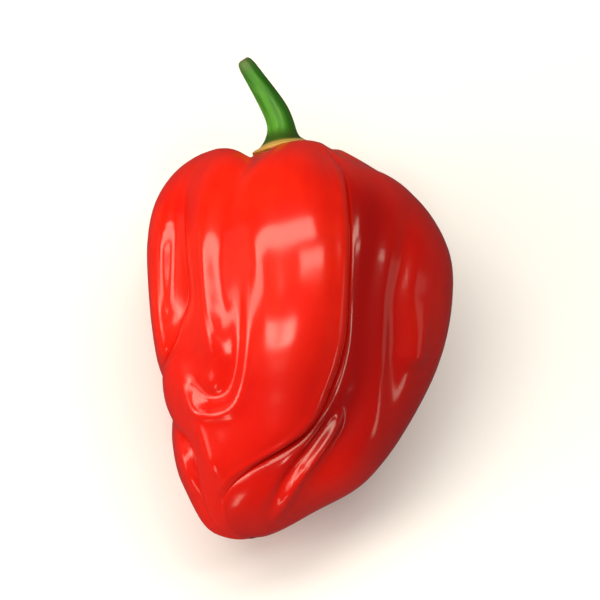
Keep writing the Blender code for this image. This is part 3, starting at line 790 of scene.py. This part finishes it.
def pepper_skin(streaks, grain):
    """Waxy ripe red skin: more orange on the shoulders, darker low down, painted shade in furrows and on
    the right.
    """
    made, tree, shader = new_material(
        "ripe red skin", IOR=1.45, Specular_IOR_Level=0.05, Coat_Weight=0.52, Coat_Roughness=0.15,
        Coat_IOR=1.7, Subsurface_Weight=0.08, Subsurface_Scale=0.002)
    shader.inputs["Subsurface Radius"].default_value = (1.0, 0.25, 0.1)
    skin = read_attribute(tree, "skin", "Vector")
    place = add_node(tree, "ShaderNodeTexCoord").outputs["Object"]
    fall = read_attribute(tree, "fall")
    broad = drawn_streaks(tree, streaks, place, per_metre=90.0, stretch=1.5, start=0.30, full=0.70)
    fine = drawn_streaks(tree, streaks, skin, per_metre=700.0, stretch=9.0, start=0.40, full=0.75)
    colour = mix_colours(tree, broad, RIPE_RED, BRIGHT_RED)
    lines = multiply(tree, fine, ramp(tree, fall, *STREAKED_FROM, to_high=0.14))
    colour = mix_colours(tree, lines, colour, STREAK_RED)
    # Painted shade darkens the bottoms of deep furrows
    colour = mix_colours(tree, read_attribute(tree, "crease_shade"), colour, CREASE_SHADE_RED)
    colour = mix_colours(tree, ramp(tree, fall, *SHOULDER, to_high=0.45), colour, SHOULDER_ORANGE)
    colour = mix_colours(tree, ramp(tree, fall, *BY_CALYX, to_high=0.8), colour, BY_CALYX_OCHRE)
    colour = mix_colours(tree, ramp(tree, fall, *LOW_PART, to_high=0.60), colour, LOW_RED)
    scar = ramp(tree, read_attribute(tree, "from_tip"), *SCAR_EDGE, to_high=0.9)
    colour = mix_colours(tree, scar, colour, SCAR_BROWN)
    # Painted shade darkens the right lobe, the lobe under it and the crown's right edge
    colour = mix_colours(tree, read_attribute(tree, "shade"), colour, SHADED_RED)
    tree.links.new(colour, shader.inputs["Base Color"])
    roughness = ramp(tree, broad, 0.0, 1.0, to_low=0.36, to_high=0.28)
    tree.links.new(roughness, shader.inputs["Roughness"])
    add_grain(tree, shader, grain, skin, per_metre=1300.0, dimples=0.6, height=0.04 * MM, strength=0.35)
    return made


def stem_skin(streaks, grain):
    """Fresh green with pale streaks and painted shade on its right side: olive by the calyx, cream on its
    rim, dry and brown where cut.
    """
    made, tree, shader = new_material("green stem", IOR=1.45, Specular_IOR_Level=0.25, Coat_Weight=0.06,
                                      Coat_Roughness=0.3)
    skin = read_attribute(tree, "skin", "Vector")
    along = read_attribute(tree, "along")
    broad = drawn_streaks(tree, streaks, skin, per_metre=500.0, stretch=5.0, start=0.35, full=0.65)
    fine = drawn_streaks(tree, streaks, skin, per_metre=2600.0, stretch=12.0, start=0.45, full=0.75)
    colour = mix_colours(tree, broad, STEM_GREEN, STEM_LIGHT_GREEN)
    colour = mix_colours(tree, multiply(tree, fine, 0.4), colour, STEM_STREAK)
    colour = mix_colours(tree, ramp(tree, along, *STEM_TIP, to_high=0.6), colour, STEM_TIP_OLIVE)
    # Painted shade darkens the stem's right side
    side_shade = multiply(tree, read_attribute(tree, "shaded_side"), 0.85)
    colour = mix_colours(tree, side_shade, colour, STEM_SHADED_GREEN)
    colour = mix_colours(tree, ramp(tree, along, *STEM_BASE, to_high=0.8), colour, STEM_BASE_OLIVE)
    colour = mix_colours(tree, read_attribute(tree, "rim"), colour, RIM_CREAM)
    colour = mix_colours(tree, read_attribute(tree, "cut_end"), colour, CUT_BROWN)
    tree.links.new(colour, shader.inputs["Base Color"])
    roughness = ramp(tree, broad, 0.0, 1.0, to_low=0.42, to_high=0.55)
    tree.links.new(roughness, shader.inputs["Roughness"])
    add_grain(tree, shader, grain, skin, per_metre=3000.0, dimples=0.4, height=0.05 * MM, strength=0.5)
    return made


def floor_material():
    made, tree, shader = new_material("pale floor", Roughness=0.6)
    place = add_node(tree, "ShaderNodeTexCoord").outputs["Object"]
    cloud = add_node(tree, "ShaderNodeTexNoise", {"Vector": place, "Scale": 6.0, "Detail": 3.0})
    tone = ramp(tree, cloud.outputs["Fac"], 0.3, 0.7)
    tree.links.new(mix_colours(tree, tone, *FLOOR_TONES), shader.inputs["Base Color"])
    return made


def make_floor():
    """A plain floor. The pepper doesn't mirror it, so the undersides of its lobes stay a clean red."""
    bm = bmesh.new()
    bmesh.ops.create_grid(bm, x_segments=1, y_segments=1, size=FLOOR_REACH)
    mesh = bpy.data.meshes.new("floor")
    bm.to_mesh(mesh)
    bm.free()
    made = bpy.data.objects.new("floor", mesh)
    bpy.context.scene.collection.objects.link(made)
    mesh.materials.append(floor_material())
    made.visible_glossy = False


def add_panel(panel, colour=WARM_WHITE):
    """A softbox that faces the pepper."""
    light = bpy.data.lights.new(panel.name, "AREA")
    light.shape = "RECTANGLE"
    light.size, light.size_y = panel.size
    light.energy = panel.brightness * light.size * light.size_y
    light.color = colour
    made = bpy.data.objects.new(panel.name, light)
    made.location = Vector(LIGHTS_AIM) + Vector(panel.toward).normalized() * panel.distance
    made.rotation_euler = (Vector(LIGHTS_AIM) - made.location).to_track_quat("-Z", "Y").to_euler()
    bpy.context.scene.collection.objects.link(made)
    return made


def light_scene():
    """Softboxes that the gloss mirrors, a broad fill that only brightens the colours, and a dim room."""
    for panel in PANELS:
        add_panel(panel)
    fill = add_panel(SOFT_FILL, PLAIN_WHITE)
    fill.visible_glossy = False
    world = bpy.data.worlds.new("soft room")
    world.use_nodes = True
    bpy.context.scene.world = world
    background = world.node_tree.nodes["Background"]
    background.inputs["Color"].default_value = (*ROOM_WHITE, 1.0)
    background.inputs["Strength"].default_value = ROOM_LIGHT


def add_camera():
    data = bpy.data.cameras.new("camera")
    data.sensor_width = SENSOR_WIDTH
    data.lens = SENSOR_WIDTH * CAMERA_DISTANCE / VIEW_WIDTH
    made = bpy.data.objects.new("camera", data)
    back = Vector((0.0, -math.cos(CAMERA_ELEVATION), math.sin(CAMERA_ELEVATION)))
    made.location = Vector(CAMERA_TARGET) + back * CAMERA_DISTANCE
    made.rotation_euler = (math.pi / 2 - CAMERA_ELEVATION, 0.0, 0.0)
    bpy.context.scene.collection.objects.link(made)
    bpy.context.scene.camera = made


def dress(piece, node, finish):
    """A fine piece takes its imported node's place and its finish."""
    piece.data.materials.append(finish)
    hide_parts(node)
    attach(piece, "root")


streaks = make_streak_group()
grain = make_grain_group()
dress(fine_pod(), "pod", pepper_skin(streaks, grain))
dress(fine_stem(), "stem_calyx", stem_skin(streaks, grain))
make_floor()
light_scene()
add_camera()
bpy.context.scene.view_settings.view_transform = "Standard"
